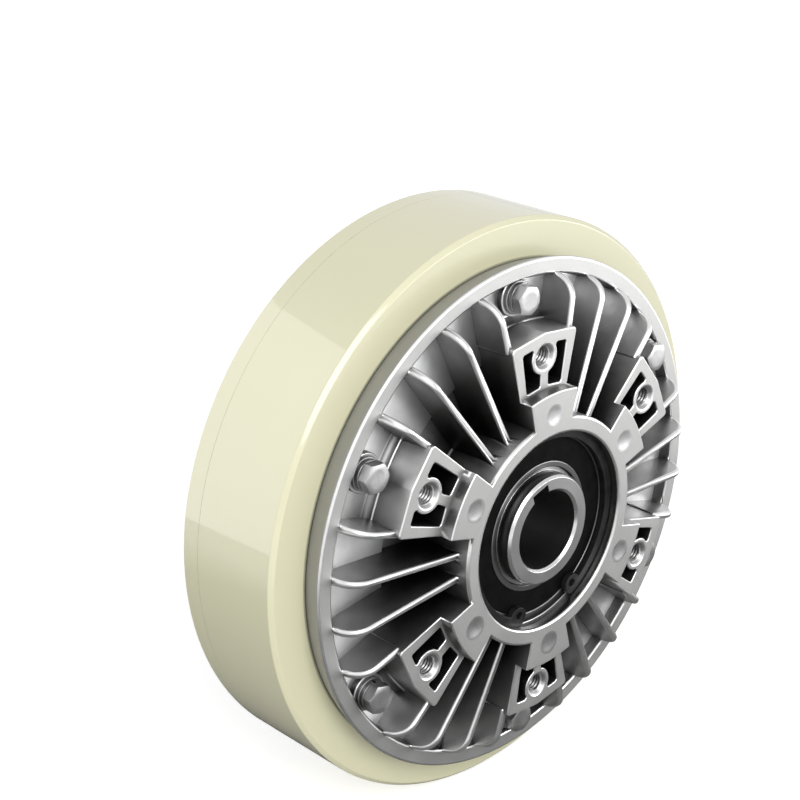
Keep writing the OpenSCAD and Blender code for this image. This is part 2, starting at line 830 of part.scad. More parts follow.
// Rubber grommet that leads the coil wires out through the rear cover
module lead_grommet() {
    color([0.07, 0.07, 0.07]) stand() at_angle(inlet_angle) translate([inlet_r, 0, 0]) {
        tube(inlet_bore_d / 2, grommet_d / 2, -floor_z, -half_w);
        tube(inlet_bore_d / 2, grommet_collar_d / 2, -floor_z - grommet_collar_t, -floor_z);
    }
}

front_yoke();
rear_yoke();
pole_spacer_ring();
coil_bobbin();
coil_winding();
powder_layer();
front_cover();
front_cover_bolts();
front_spring_washers();
front_flat_washers();
rear_cover();
rear_cover_bolts();
rear_spring_washers();
rear_flat_washers();
front_bearing_outer_ring();
front_bearing_inner_ring();
front_bearing_balls();
front_bearing_cage();
front_bearing_seals();
front_circlip();
front_powder_seal();
rear_bearing_outer_ring();
rear_bearing_inner_ring();
rear_bearing_balls();
rear_bearing_cage();
rear_bearing_seals();
rear_circlip();
rear_powder_seal();
hollow_shaft();
rotor_drum();
rotor_screws();
lead_grommet();
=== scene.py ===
# %% [markdown]
# # A hollow-shaft magnetic powder brake
# The brake is a painted steel ring that holds a coil. A drum on the hollow shaft turns inside it, in a thin layer of
# iron powder, and two cast aluminium covers with cooling fins carry the shaft's bearings. The solids come from the
# CAD frame. This notebook gives them their surfaces: softened edges, castings, plating, rubber and paint. All
# sizes are in metres, the shaft axis lies along Y, and the front cover faces -Y.

# %% Load the frame
import json
import math

import bmesh
import bpy
from mathutils import Matrix, Vector
from mathutils.bvhtree import BVHTree


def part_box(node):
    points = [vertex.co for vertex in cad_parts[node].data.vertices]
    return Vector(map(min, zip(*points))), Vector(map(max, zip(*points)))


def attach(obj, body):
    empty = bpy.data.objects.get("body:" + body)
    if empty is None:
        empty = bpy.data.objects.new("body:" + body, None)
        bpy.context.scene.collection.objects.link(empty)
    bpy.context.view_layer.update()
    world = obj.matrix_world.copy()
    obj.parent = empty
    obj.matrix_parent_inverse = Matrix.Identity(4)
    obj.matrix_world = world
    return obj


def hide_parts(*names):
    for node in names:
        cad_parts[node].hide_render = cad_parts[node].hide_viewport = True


MM = 0.001
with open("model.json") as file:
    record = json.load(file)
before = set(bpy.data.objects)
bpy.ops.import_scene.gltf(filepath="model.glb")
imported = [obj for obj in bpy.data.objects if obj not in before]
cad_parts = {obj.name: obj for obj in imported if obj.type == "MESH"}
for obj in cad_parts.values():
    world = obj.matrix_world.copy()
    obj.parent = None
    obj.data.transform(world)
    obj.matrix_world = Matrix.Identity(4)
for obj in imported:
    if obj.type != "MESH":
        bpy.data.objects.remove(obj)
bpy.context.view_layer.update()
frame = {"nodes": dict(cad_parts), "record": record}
scene = bpy.context.scene

# %% [markdown]
# ## Sizes read from the frame
# The main sizes are not typed in again but measured on the nodes that they belong to, so that the looks follow the
# solids. Small ones that the solids don't have, such as a thread's pitch, are named where they are used.

# %% Read the sizes
MOUNTS = {mount["name"]: mount for mount in frame["record"]["mounts"]}
THREADS = MOUNTS["front_pad_threads"]["dims"]
PAD_Y = abs(MOUNTS["front_pad_face"]["pos_m"][1])
RING_Y = abs(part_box("front_yoke")[0].y)
JOINT_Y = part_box("front_yoke")[1].y
FLOOR_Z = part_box("front_yoke")[0].z
BORE_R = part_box("front_bearing_outer_ring")[1].x


def circle_of(node):
    """Radius of the circle that a node's six round pieces stand on, and of each piece.

    One piece stands at the top and two at 60 degrees to it, so the box gives both.
    """
    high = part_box(node)[1]
    ring = (high.z - high.x) / (1 - math.sin(math.radians(60)))
    return ring, high.z - ring


BOLT_RING, WASHER_R = circle_of("front_flat_washers")
SPRING_R = circle_of("front_spring_washers")[1]
print("ring face", round(RING_Y / MM, 2), "pads", round(PAD_Y / MM, 2), "bearing", round(BORE_R / MM, 2))
print("bolts on", round(BOLT_RING / MM, 2), "washers", round(WASHER_R / MM, 2), round(SPRING_R / MM, 2))

# %% [markdown]
# ## Camera
# The camera was fitted to circles of the object that can be seen whole in the photograph, such as the ring's edge,
# the hub and the circle of threads, so its place and its long lens are real sizes.

# %% Place the camera
CAMERA_PLACE = Vector((-0.4311, -0.4162, 0.2965))
VIEW_AZIMUTH = math.radians(-44.20)
VIEW_ELEVATION = math.radians(23.46)
VIEW_ROLL = math.radians(-0.67)
LENS_MM = 79.92
FAR_CLIP = 20


def camera_turn(azimuth, elevation, roll):
    """Rotation of a camera that looks back at the object from that side, as a 4 by 4 matrix."""
    back = Vector((
        math.sin(azimuth) * math.cos(elevation),
        -math.cos(azimuth) * math.cos(elevation),
        math.sin(elevation),
    ))
    right = (-back).cross(Vector((0, 0, 1))).normalized()
    up = back.cross(right)
    turned_right = right * math.cos(roll) + up * math.sin(roll)
    turned_up = up * math.cos(roll) - right * math.sin(roll)
    return Matrix((turned_right, turned_up, back)).transposed().to_4x4()


camera_data = bpy.data.cameras.new("photo_camera")
camera_data.lens = LENS_MM
camera_data.clip_end = FAR_CLIP
camera = bpy.data.objects.new("photo_camera", camera_data)
camera.matrix_world = Matrix.Translation(CAMERA_PLACE) @ camera_turn(VIEW_AZIMUTH, VIEW_ELEVATION, VIEW_ROLL)
scene.collection.objects.link(camera)
scene.camera = camera
print("camera distance", round(CAMERA_PLACE.length, 3))

# %% [markdown]
# ## Node trees
# A finish and a pattern are both small trees of nodes. `Wire` wraps a socket so that sums read as sums, and
# `Graph.node` adds any other node from its type, its settings and its inputs.


# %% Wires and graphs
class Wire:
    """A value that flows from one node to the next."""

    def __init__(self, graph, socket):
        self.graph = graph
        self.socket = socket

    def maths(self, operation, other=0.0, other_first=False):
        """A Math node on this value and another one."""
        values = (other, self) if other_first else (self, other)
        return self.graph.node("ShaderNodeMath", {"operation": operation}, dict(enumerate(values)))

    def __add__(self, other):
        return self.maths("ADD", other)

    def __sub__(self, other):
        return self.maths("SUBTRACT", other)

    def __rsub__(self, other):
        return self.maths("SUBTRACT", other, other_first=True)

    def __mul__(self, other):
        return self.maths("MULTIPLY", other)

    def __rtruediv__(self, other):
        return self.maths("DIVIDE", other, other_first=True)

    def __pow__(self, other):
        return self.maths("POWER", other)

    __radd__ = __add__
    __rmul__ = __mul__


class Graph:
    """A node tree that is built one node at a time."""

    def __init__(self, tree):
        self.tree = tree

    def node(self, kind, settings=None, inputs=None, output=0):
        """Adds a node. Its settings are set first, then its inputs are filled or linked."""
        made = self.tree.nodes.new(kind)
        for name, value in (settings or {}).items():
            setattr(made, name, value)
        for name, value in (inputs or {}).items():
            if isinstance(value, Wire):
                self.tree.links.new(value.socket, made.inputs[name])
            else:
                made.inputs[name].default_value = value
        return Wire(self, made.outputs[output]) if made.outputs else None


class Finish(Graph):
    """A material that is built node by node."""

    def __init__(self, name):
        self.material = bpy.data.materials.new(name)
        self.material.use_nodes = True
        super().__init__(self.material.node_tree)
        self.tree.nodes.clear()

    def place(self):
        return self.node("ShaderNodeTexCoord", output="Object")

    def split(self, vector):
        """The x, y and z of a vector."""
        parts = self.node("ShaderNodeSeparateXYZ", None, {0: vector})
        return [Wire(self, parts.socket.node.outputs[i]) for i in range(3)]

    def axis_radius(self):
        """Distance from the shaft axis, and the place along it."""
        x, y, z = self.split(self.place())
        return (x * x + z * z) ** 0.5, y

    def noise(self, vector, scale, detail=2.0, roughness=0.5):
        return self.node(
            "ShaderNodeTexNoise", None,
            {"Vector": vector, "Scale": scale, "Detail": detail, "Roughness": roughness},
            output="Fac",
        )

    def mix(self, factor, first, second):
        """First colour where the factor is 0, second where it is 1."""
        return self.node(
            "ShaderNodeMix", {"data_type": "RGBA"}, {"Factor": factor, 6: first, 7: second}, output=2
        )

    def spread(self, value, low, high, start=0.0, stop=1.0):
        """Carries start to low and stop to high."""
        return self.node("ShaderNodeMapRange", None, {
            "Value": value, "From Min": start, "From Max": stop, "To Min": low, "To Max": high,
        })

    def shelter(self, distance, only_local=True):
        """How open a spot is: 1 in the open, less in a corner."""
        return self.node(
            "ShaderNodeAmbientOcclusion", {"only_local": only_local, "samples": 8}, {"Distance": distance},
            output="AO",
        )

    def bump(self, height, distance, strength=1.0, normal=None):
        inputs = {"Height": height, "Distance": distance, "Strength": strength}
        if normal is not None:
            inputs["Normal"] = normal
        return self.node("ShaderNodeBump", None, inputs)

    def finish(self, **sockets):
        shader = self.node(
            "ShaderNodeBsdfPrincipled", None, {name.replace("_", " "): value for name, value in sockets.items()}
        )
        self.node("ShaderNodeOutputMaterial", None, {"Surface": shader})
        return self.material


def grey(value):
    return (value, value, value, 1)


# %% [markdown]
# ## Paint of the yoke ring
# The ring is turned steel under a thick, glossy cream enamel. A plain glossy shader would mirror either too sharply or
# too softly, so the finish has two layers, as the paint does: a rougher body, and a clear coat that gives the sharp,
# window-like reflections. A very fine ripple breaks them up as orange peel does, and large soft noise shifts the colour
# a little. Painted shade darkens the joint line and the corner under the cover, within about a millimetre.


# %% Cream enamel
JOINT_SHADE = 0.0012


def cream_enamel():
    f = Finish("cream_enamel")
    place = f.place()
    drift = f.noise(place, scale=14, detail=3)
    colour = f.mix(f.spread(drift, 0.2, 0.8), (0.76, 0.74, 0.51, 1), (0.81, 0.79, 0.55, 1))
    # painted shade: occlusion from nearby parts darkens the joint line and the corner under the cover
    colour = f.mix(f.shelter(JOINT_SHADE, only_local=False) ** 2.0, (0.03, 0.03, 0.02, 1), colour)
    peel = f.noise(place, scale=420)
    ripple = f.bump(peel, distance=0.00004, strength=0.30)
    return f.finish(
        Base_Color=colour, Roughness=f.spread(drift, 0.30, 0.38), Normal=ripple,
        Coat_Weight=1.0, Coat_Roughness=0.03, Specular_IOR_Level=0.4,
    )


# %% [markdown]
# ## Cast aluminium
# The cover is a die casting that was blasted and then machined on its seats. Its grain is far too fine to model, so
# bump nodes draw it in two sizes over a slow swell. Deep between the fins little light gets in, and an occlusion mask
# paints that shade into the colour, darker towards the hub than at the rim. Edges and fin crests, rubbed bright and
# given a painted highlight, and the open floor at the rim, painted lighter as if lit, get lighter finishes from the
# same function.


# %% Casting skins
FIN_SHADE = 0.014
FIN_START, FIN_STOP = 0.052, 0.086


def casting(name, dark, light, rough, grain, near_hub, near_rim):
    """Cast metal with painted shade in corners, which grows from near_rim to near_hub, where the fins stand closest."""
    f = Finish(name)
    place = f.place()
    radius = f.axis_radius()[0]
    coarse = f.noise(place, scale=240, detail=4, roughness=0.6)
    fine = f.noise(place, scale=1500, detail=3, roughness=0.6)
    cloud = f.noise(place, scale=55, detail=3)
    clean = f.mix(f.spread(cloud, 0, 1, 0.3, 0.7), grey(dark), grey(light))
    depth = f.spread(radius, near_hub, near_rim, FIN_START, FIN_STOP)
    # painted shade: the occlusion mask darkens the colour in corners, by a power that changes with the radius
    colour = f.mix(f.shelter(FIN_SHADE) ** depth, grey(0.012), clean)
    skin = f.bump(cloud, distance=0.0006, strength=0.35)
    skin = f.bump(fine, distance=0.00006, strength=grain, normal=skin)
    skin = f.bump(coarse, distance=0.00012, strength=grain, normal=skin)
    return f.finish(Base_Color=colour, Metallic=1.0, Roughness=f.spread(coarse, *rough), Normal=skin)


def cast_skin():
    return casting("cast_skin", 0.46, 0.68, rough=(0.32, 0.48), grain=0.45, near_hub=1.9, near_rim=1.3)


def lit_cast_floor():
    """The dish between the fins, painted lighter than the cast skin as if lit. Its painted shade fades out towards the
    open rim.
    """
    return casting("lit_cast_floor", 0.80, 0.95, rough=(0.30, 0.44), grain=0.45, near_hub=1.8, near_rim=0.02)


def rubbed_and_highlit_edge():
    """Rounded edges and the crests of the fins, rubbed bright and painted lighter as a highlight."""
    return casting("rubbed_and_highlit_edge", 0.74, 0.92, rough=(0.26, 0.38), grain=0.25, near_hub=0.4, near_rim=0.2)


# %% [markdown]
# ## Turned and ground steel
# A lathe leaves fine rings. A ring texture would be too even, so noise is read at the distance from the axis and the
# place along it instead. That draws uneven rings both on end faces and round cylinders, on every turned piece, since
# they all share the shaft's axis. Where a finish takes painted shade in its corners, open_power says how strongly.


# %% Turned metals
WHITE = (1.0, 1.0, 1.0)
HUB_SHADE = 0.010


def turned(name, dark, light, rough, depth, tint=WHITE, open_power=0.0, metallic=1.0):
    f = Finish(name)
    radius, along = f.axis_radius()
    lathe = f.node("ShaderNodeCombineXYZ", None, {0: radius, 1: along, 2: 0.0})
    rings = f.noise(lathe, scale=2600, detail=3, roughness=0.6)
    cloud = f.noise(f.place(), scale=60, detail=3)
    low = (*[dark * part for part in tint], 1)
    high = (*[light * part for part in tint], 1)
    colour = f.mix(f.spread(rings, 0, 1) * 0.6 + cloud * 0.4, low, high)
    # painted shade in corners, as strong as open_power says
    if open_power:
        colour = f.mix(f.shelter(HUB_SHADE, only_local=False) ** open_power, grey(0.02), colour)
    return f.finish(
        Base_Color=colour, Metallic=metallic, Roughness=f.spread(cloud, *rough),
        Normal=f.bump(rings, distance=0.00003, strength=depth),
    )


def machined_face():
    """Faces of the casting that the lathe has cut."""
    return turned(
        "machined_face", 0.42, 0.57, rough=(0.48, 0.62), depth=0.45, tint=(1.0, 1.0, 0.99), open_power=0.3
    )


def fine_bore():
    """Seat of the bearing, bored to a finer finish."""
    return turned("fine_bore", 0.40, 0.56, rough=(0.20, 0.28), depth=0.30, open_power=0.4)


def turned_side():
    """Outside of the cover's rim, turned and then left to dull."""
    return turned("turned_side", 0.30, 0.42, rough=(0.42, 0.54), depth=0.4, metallic=0.5)


def ground_steel():
    return turned("ground_steel", 0.24, 0.34, rough=(0.26, 0.36), depth=0.4, open_power=1.5)


def shaft_face():
    """Turned end of the shaft, lighter than its ground outside."""
    return turned("shaft_face", 0.40, 0.54, rough=(0.30, 0.42), depth=0.5)


def bright_chamfer():
    return turned("bright_chamfer", 0.60, 0.76, rough=(0.22, 0.32), depth=0.2)


def tapped_thread_painted_dark():
    """Flanks that the tap has cut, painted dark for the shade inside the hole."""
    return turned("tapped_thread_painted_dark", 0.16, 0.30, rough=(0.26, 0.36), depth=0.2)


def turned_steel():
    return turned("turned_steel", 0.36, 0.50, rough=(0.30, 0.45), depth=0.8)


def machined_brass():
    return turned("machined_brass", 0.84, 1.0, rough=(0.22, 0.35), depth=0.5, tint=(0.80, 0.62, 0.30))


# %% [markdown]
# ## Plating, rubber, plastic, wire and powder
# These finishes have no direction, so one function serves them all: a cloud of noise shifts the shade and the gloss,
# and a fine speck gives the grain. Only the coil's copper has its turns drawn, by a wave along the axis.

# %% Plated, polished and blackened steel
WASHER_SHADE = 0.006


def plated(name, dark, light, rough, grain, metallic=1.0, specular=0.5, open_power=0.0):
    f = Finish(name)
    place = f.place()
    cloud = f.noise(place, scale=180, detail=4, roughness=0.6)
    speck = f.noise(place, scale=1400)
    colour = f.mix(f.spread(cloud, 0, 1, 0.3, 0.7), dark, light)
    # painted shade in corners around the bolts and washers, as strong as open_power says
    if open_power:
        colour = f.mix(f.shelter(WASHER_SHADE, only_local=False) ** open_power, grey(0.03), colour)
    return f.finish(
        Base_Color=colour, Metallic=metallic, Specular_IOR_Level=specular,
        Roughness=f.spread(cloud, *rough), Normal=f.bump(speck, distance=0.00004, strength=grain),
    )


def zinc_plate():
    return plated("zinc_plate", grey(0.38), grey(0.56), rough=(0.34, 0.48), grain=0.6, open_power=1.0)


def black_oxide():
    return plated(
        "black_oxide", grey(0.010), grey(0.030), rough=(0.26, 0.40), grain=0.4, metallic=0.3, specular=0.3
    )


def ball_steel():
    return plated("ball_steel", (0.70, 0.71, 0.72, 1), (0.80, 0.81, 0.82, 1), rough=(0.06, 0.12), grain=0.1)


# %% Rubber, plastic, wire and powder
def black_rubber():
    return plated(
        "black_rubber", grey(0.003), grey(0.008), rough=(0.42, 0.58), grain=0.6, metallic=0.0, specular=0.04
    )


def bobbin_plastic():
    dark, light = (0.02, 0.022, 0.024, 1), (0.035, 0.037, 0.04, 1)
    return plated("bobbin_plastic", dark, light, rough=(0.40, 0.55), grain=0.5, metallic=0.0)


def iron_powder():
    dark, light = (0.03, 0.03, 0.032, 1), (0.10, 0.10, 0.105, 1)
    return plated("iron_powder", dark, light, rough=(0.55, 0.80), grain=1.0, metallic=0.5)


def enamelled_wire():
    """Copper turns lying side by side along the axis."""
    f = Finish("enamelled_wire")
    radius, along = f.axis_radius()
    turns = f.node("ShaderNodeTexWave", {"bands_direction": "X"}, {
        "Vector": f.node("ShaderNodeCombineXYZ", None, {0: along + radius, 1: 0.0, 2: 0.0}), "Scale": 320,
    }, output="Fac")
    colour = f.mix(turns, (0.20, 0.06, 0.02, 1), (0.62, 0.24, 0.08, 1))
    ridges = f.bump(turns, distance=0.0003, strength=0.8)
    return f.finish(Base_Color=colour, Metallic=0.9, Roughness=0.28, Normal=ridges)


FINISHES = {
    "cream_paint": cream_enamel(),
    "cast_aluminium": cast_skin(),
    "zinc_plate": zinc_plate(),
    "ground_steel": ground_steel(),
    "ball_steel": ball_steel(),
    "turned_steel": turned_steel(),
    "black_steel": black_oxide(),
    "brass": machined_brass(),
    "copper_wire": enamelled_wire(),
    "bobbin_plastic": bobbin_plastic(),
    "iron_powder": iron_powder(),
    "black_rubber": black_rubber(),
}
# painted highlight and wear: the lighter finish for rounded edges and fin crests
EDGE = rubbed_and_highlit_edge()
MACHINED = machined_face()
BORE = fine_bore()
CHAMFER = bright_chamfer()
TAPPED_PAINTED_DARK = tapped_thread_painted_dark()
SIDE = turned_side()
LIT_DISH = lit_cast_floor()
SHAFT_FACE = shaft_face()
SLOT_OF = {part["node"]: part["material_slot"] for part in frame["record"]["subparts"]}
print("finishes by slot", len(FINISHES))

# %% [markdown]
# ## Give every solid its finish
# The solids already have the right shape, so first each one takes the finish of its material slot.

# %% Dress the solids
for name, solid in frame["nodes"].items():
    solid.data.materials.clear()
    solid.data.materials.append(FINISHES[SLOT_OF[name]])
print("dressed", len(frame["nodes"]))

# %% [markdown]
# ## Softened edges
# A CAD edge is perfectly sharp and catches no light. On the real castings and turned parts every edge is rounded a
# little and shines as a thin line, and the crests of the cast fins are round all over. A Bevel node in the material
# could fake that, but the exported shape would keep its sharp edges, so the shape itself is rounded. Each visible solid
# is copied, its triangles are merged back to whole faces, every sharp edge gets a weight for how far it is rounded, and
# a Bevel modifier does the rounding. The bevel's own faces can take a brighter finish, for where handling has rubbed
# the metal and as a painted highlight.


# %% Soften a copy of a solid
BODY_OF = {node: body for body, nodes in frame["record"]["behaviour"]["bodies"].items() for node in nodes}
SHARP = math.radians(35)
FLAT = math.radians(0.3)
SAME_POINT = 2e-6
SLIVER = 0.03 * MM
OVERSHOOT = 0.32
BOX_SLACK = 1e-7


def whole_faces(node):
    """A node's shape with its doubles merged, its slivers gone and its flat faces whole."""
    shape = bmesh.new()
    shape.from_mesh(frame["nodes"][node].data)
    bmesh.ops.remove_doubles(shape, verts=shape.verts, dist=SAME_POINT)
    bmesh.ops.dissolve_degenerate(shape, edges=shape.edges, dist=SLIVER)
    bmesh.ops.dissolve_limit(shape, angle_limit=FLAT, verts=shape.verts, edges=shape.edges)
    bmesh.ops.dissolve_degenerate(shape, edges=shape.edges, dist=SLIVER)
    return shape


def weigh_edges(shape, weight_of):
    """Writes how far each sharp edge is rounded. One with no weight is shaded as a sharp edge."""
    layer = shape.edges.layers.float.new("bevel_weight_edge")
    for face in shape.faces:
        face.smooth = True
    for edge in shape.edges:
        if len(edge.link_faces) == 2 and edge.calc_face_angle(0) > SHARP:
            edge[layer] = weight_of(edge)
            edge.smooth = edge[layer] > 0


def keep_modifiers(piece):
    """Turns what the modifiers make into the piece's own mesh."""
    graph = bpy.context.evaluated_depsgraph_get()
    made = bpy.data.meshes.new_from_object(piece.evaluated_get(graph), depsgraph=graph)
    piece.modifiers.clear()
    piece.data = made
    return piece


def pull_back(piece, node, limit):
    """Where edges crowd, a bevel can overshoot. Points that left the solid go back to its surface."""
    solid = frame["nodes"][node].data
    surface = BVHTree.FromPolygons(
        [point.co for point in solid.vertices], [face.vertices for face in solid.polygons]
    )
    low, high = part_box(node)
    count = 0
    for point in piece.data.vertices:
        nearest, normal, _, distance = surface.find_nearest(point.co)
        outside = any(not low[i] - BOX_SLACK <= point.co[i] <= high[i] + BOX_SLACK for i in range(3))
        if outside or (distance > limit and (point.co - nearest).dot(normal) > 0):
            point.co = nearest
            count += 1
    return count


def stand_for(piece, node):
    """The piece takes the node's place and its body."""
    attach(piece, BODY_OF[node])
    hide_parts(node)


def softened(node, width, segments=2, finishes=(), weight_of=lambda edge: 1.0):
    """A copy of a node with rounded edges, which then stands for it.

    The first extra finish goes on its edges. Clamping is off, because one short edge would stop the whole bevel.
    """
    shape = whole_faces(node)
    weigh_edges(shape, weight_of)
    mesh = bpy.data.meshes.new(f"{node}_softened")
    shape.to_mesh(mesh)
    shape.free()
    for finish in (FINISHES[SLOT_OF[node]], *finishes):
        mesh.materials.append(finish)
    piece = bpy.data.objects.new(f"{node}_softened", mesh)
    scene.collection.objects.link(piece)
    bevel = piece.modifiers.new("round", "BEVEL")
    bevel.width = width
    bevel.segments = segments
    bevel.limit_method = "WEIGHT"
    bevel.material = 1 if finishes else -1
    bevel.miter_outer = "MITER_ARC"
    bevel.use_clamp_overlap = False
    weighted = piece.modifiers.new("shade", "WEIGHTED_NORMAL")
    weighted.keep_sharp = True
    keep_modifiers(piece)
    pulled = pull_back(piece, node, width * OVERSHOOT)
    stand_for(piece, node)
    print(node, "faces", len(piece.data.polygons), "points pulled back", pulled)
    return piece


# %% [markdown]
# ## The finned covers
# Each cover is one aluminium casting: a dish with 24 fins, six windowed pads with threads, and the bearing's hub with
# six tabs. Then a lathe cuts its hub, tabs, pads, rim and bolt seats flat and bores the bearing's seat. So the flat
# front faces take a machined finish and the bore a finer one. The rim's outside is turned and dull, the floor between
# the fins is painted pale as if lit, and the rest keeps the cast skin. The fins' crests get the widest rounding,
# because the mould draws there, and a lighter finish as a painted highlight.


# %% Covers
CAST, RUBBED_AND_HIGHLIT, CUT, BORED, OUTSIDE, FLOOR = range(6)
CREST_LOW = RING_Y + 9.6 * MM
CUT_LOW = RING_Y + 7 * MM
CUT_TILT = 0.9995
RIM_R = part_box("front_cover")[1].x - 4 * MM
EDGE_SHARE = 0.38


def across(face):
    """A face's tilt towards the cover's outside, away from the axis, and round it."""
    centre = face.calc_center_median()
    radius = math.hypot(centre.x, centre.z)
    outward = Vector((centre.x / radius, 0, centre.z / radius))
    around = Vector((outward.z, 0, -outward.x))
    return abs(face.normal.y), face.normal.dot(outward), face.normal.dot(around), abs(centre.y)


def on_crest(face):
    """Fin crests slope outwards and never sideways, between the rim and the pads."""
    forward, outward, around, height = across(face)
    slopes_out = 0.04 < forward < CUT_TILT and outward > 0.03 and abs(around) < 0.05
    return slopes_out and CREST_LOW < height < PAD_Y


def cover_weight(edge):
    """Crests are rounded most. Inner corners stay as they are, so that they keep dark."""
    if not edge.is_convex:
        return 0.0
    return 1.0 if any(on_crest(face) for face in edge.link_faces) else EDGE_SHARE


def dress_cover(piece):
    """Gives each face of a cover its finish: mostly by how it was made, and on the floor between the fins a lighter
    finish that paints light. The bevel has already set the rubbed and highlit ones.
    """
    counts = [0] * 6
    for face in piece.data.polygons:
        radius = math.hypot(face.center.x, face.center.z)
        height = abs(face.center.y)
        tilt = abs(face.normal.y)
        if tilt > CUT_TILT and height > CUT_LOW:
            face.material_index = CUT
        elif radius < BORE_R + 1 * MM and tilt < 0.5 and height > RING_Y:
            face.material_index = BORED
        elif radius > RIM_R and tilt < 0.5:
            face.material_index = OUTSIDE
        # painted light: flat floor faces between the fins take the lighter dish finish
        elif tilt > 0.9 and height < CUT_LOW and face.material_index == CAST:
            face.material_index = FLOOR
        counts[face.material_index] += 1
    return counts


for name in ("front_cover", "rear_cover"):
    finishes = (EDGE, MACHINED, BORE, SIDE, LIT_DISH)
    cover = softened(name, width=1.15 * MM, segments=3, finishes=finishes, weight_of=cover_weight)
    print(name, "cast, rubbed, cut, bored, outside and floor faces", dress_cover(cover))

# %% [markdown]
# ## Yoke and shaft
# The front and rear parts of the yoke meet in a fine joint line that the paint has nearly filled, so the edges there
# are rounded much less than the outer ones. A line painted by the material would be simpler, but would not catch the
# light. The shaft is dark ground steel with bright chamfers and lighter, turned ends.


# %% Yoke and shaft
JOINT_SHARE = 0.4
GROUND, CHAMFERED, END = range(3)


def yoke_weight(edge):
    """The edges of the joint line are rounded less than the others."""
    middle = (edge.verts[0].co.y + edge.verts[1].co.y) / 2
    return JOINT_SHARE if abs(middle - JOINT_Y) < 0.1 * MM else 1.0


def dress_shaft(piece):
    """Slanting faces are the chamfers, and the faces at both ends are turned."""
    counts = [0] * 3
    for face in piece.data.polygons:
        tilt = abs(face.normal.y)
        if 0.4 < tilt < 0.9:
            face.material_index = CHAMFERED
        elif tilt > 0.99 and abs(face.center.y) > RING_Y:
            face.material_index = END
        counts[face.material_index] += 1
    return counts


for name in ("front_yoke", "rear_yoke"):
    softened(name, width=0.3 * MM, weight_of=yoke_weight)
shaft = softened("hollow_shaft", width=0.12 * MM, finishes=(CHAMFER, SHAFT_FACE))
print("shaft ground, chamfer and end faces", dress_shaft(shaft))

# %% [markdown]
# ## Small turned and pressed pieces
# Bearing rings, retaining rings and the grommet have the right shape already and only need their edges broken. The
# hidden pieces inside stay as the solids are.

# %% Small pieces
SOFT_EDGES_MM = {
    "front_circlip": 0.25, "rear_circlip": 0.25, "lead_grommet": 0.3,
    "front_bearing_outer_ring": 0.4, "rear_bearing_outer_ring": 0.4,
    "front_bearing_inner_ring": 0.4, "rear_bearing_inner_ring": 0.4,
}
for name, width in SOFT_EDGES_MM.items():
    softened(name, width * MM)

# %% [markdown]
# ## Ring patterns
# The bolts, their washers and the threads in the pads all stand on circles round the shaft. A loop in Python could
# place them, but one small geometry node group keeps the rule in one place: it sets copies of a unit on a circle. Each
# copy may be turned about its own axis by chance, as screws end up when they are tightened. The seed is fixed, so every
# run gives the same brake. The copies are made real at the end, because the export drops instances.


# %% Pattern group
PATTERN_INPUTS = (
    ("Unit", "NodeSocketObject"), ("Material", "NodeSocketMaterial"), ("Count", "NodeSocketInt"),
    ("Radius", "NodeSocketFloat"), ("Turn", "NodeSocketFloat"), ("Seed", "NodeSocketInt"),
)


def ring_pattern():
    tree = bpy.data.node_groups.new("ring_pattern", "GeometryNodeTree")
    for name, kind in PATTERN_INPUTS:
        tree.interface.new_socket(name, in_out="INPUT", socket_type=kind)
    tree.interface.new_socket("Ring", in_out="OUTPUT", socket_type="NodeSocketGeometry")
    g = Graph(tree)
    given = g.node("NodeGroupInput").socket.node
    unit, material, count, radius, turn, seed = [Wire(g, given.outputs[name]) for name, kind in PATTERN_INPUTS]
    angle = g.node("GeometryNodeInputIndex") * (math.tau / count)
    spot = g.node("ShaderNodeCombineXYZ", None, {
        0: angle.maths("SINE") * radius, 1: 0.0, 2: angle.maths("COSINE") * radius,
    })
    points = g.node("GeometryNodeMeshLine", None, {"Count": count})
    points = g.node("GeometryNodeSetPosition", None, {"Geometry": points, "Position": spot})
    chance = g.node("FunctionNodeRandomValue", {"data_type": "FLOAT"}, {2: 0.0, 3: 1.0, "Seed": seed}, output=1)
    euler = g.node("ShaderNodeCombineXYZ", None, {0: 0.0, 1: angle + (chance - 0.5) * turn, 2: 0.0})
    copies = g.node("GeometryNodeInstanceOnPoints", None, {
        "Points": points,
        "Instance": g.node("GeometryNodeObjectInfo", None, {"Object": unit, "As Instance": True}, output="Geometry"),
        "Rotation": g.node("FunctionNodeEulerToRotation", None, {"Euler": euler}),
    })
    whole = g.node("GeometryNodeRealizeInstances", None, {"Geometry": copies})
    g.node("NodeGroupOutput", None, {
        "Ring": g.node("GeometryNodeSetMaterial", None, {"Geometry": whole, "Material": material}),
    })
    return tree


PATTERN = ring_pattern()


def set_in_ring(name, unit_mesh, material, count, radius, turn=0.0, seed=1):
    """Copies of a unit on a circle round the shaft, as one piece."""
    unit = bpy.data.objects.new(f"{name}_unit", unit_mesh)
    scene.collection.objects.link(unit)
    piece = bpy.data.objects.new(name, bpy.data.meshes.new(name))
    scene.collection.objects.link(piece)
    modifier = piece.modifiers.new("ring", "NODES")
    modifier.node_group = PATTERN
    values = (unit, material, count, radius, turn, seed)
    sockets = [item for item in PATTERN.interface.items_tree if item.in_out == "INPUT"]
    for socket, value in zip(sockets, values):
        modifier[socket.identifier] = value
    keep_modifiers(piece)
    bpy.data.objects.remove(unit)
    return piece


print("pattern nodes", len(PATTERN.nodes))

# %% [markdown]
# ## Skins
# Bolts, washers and threads are all a section that is carried along a line or a circle. Primitives and a Screw modifier
# could make some of them, but a skin over rings of points makes them all, with every corner where it should be.


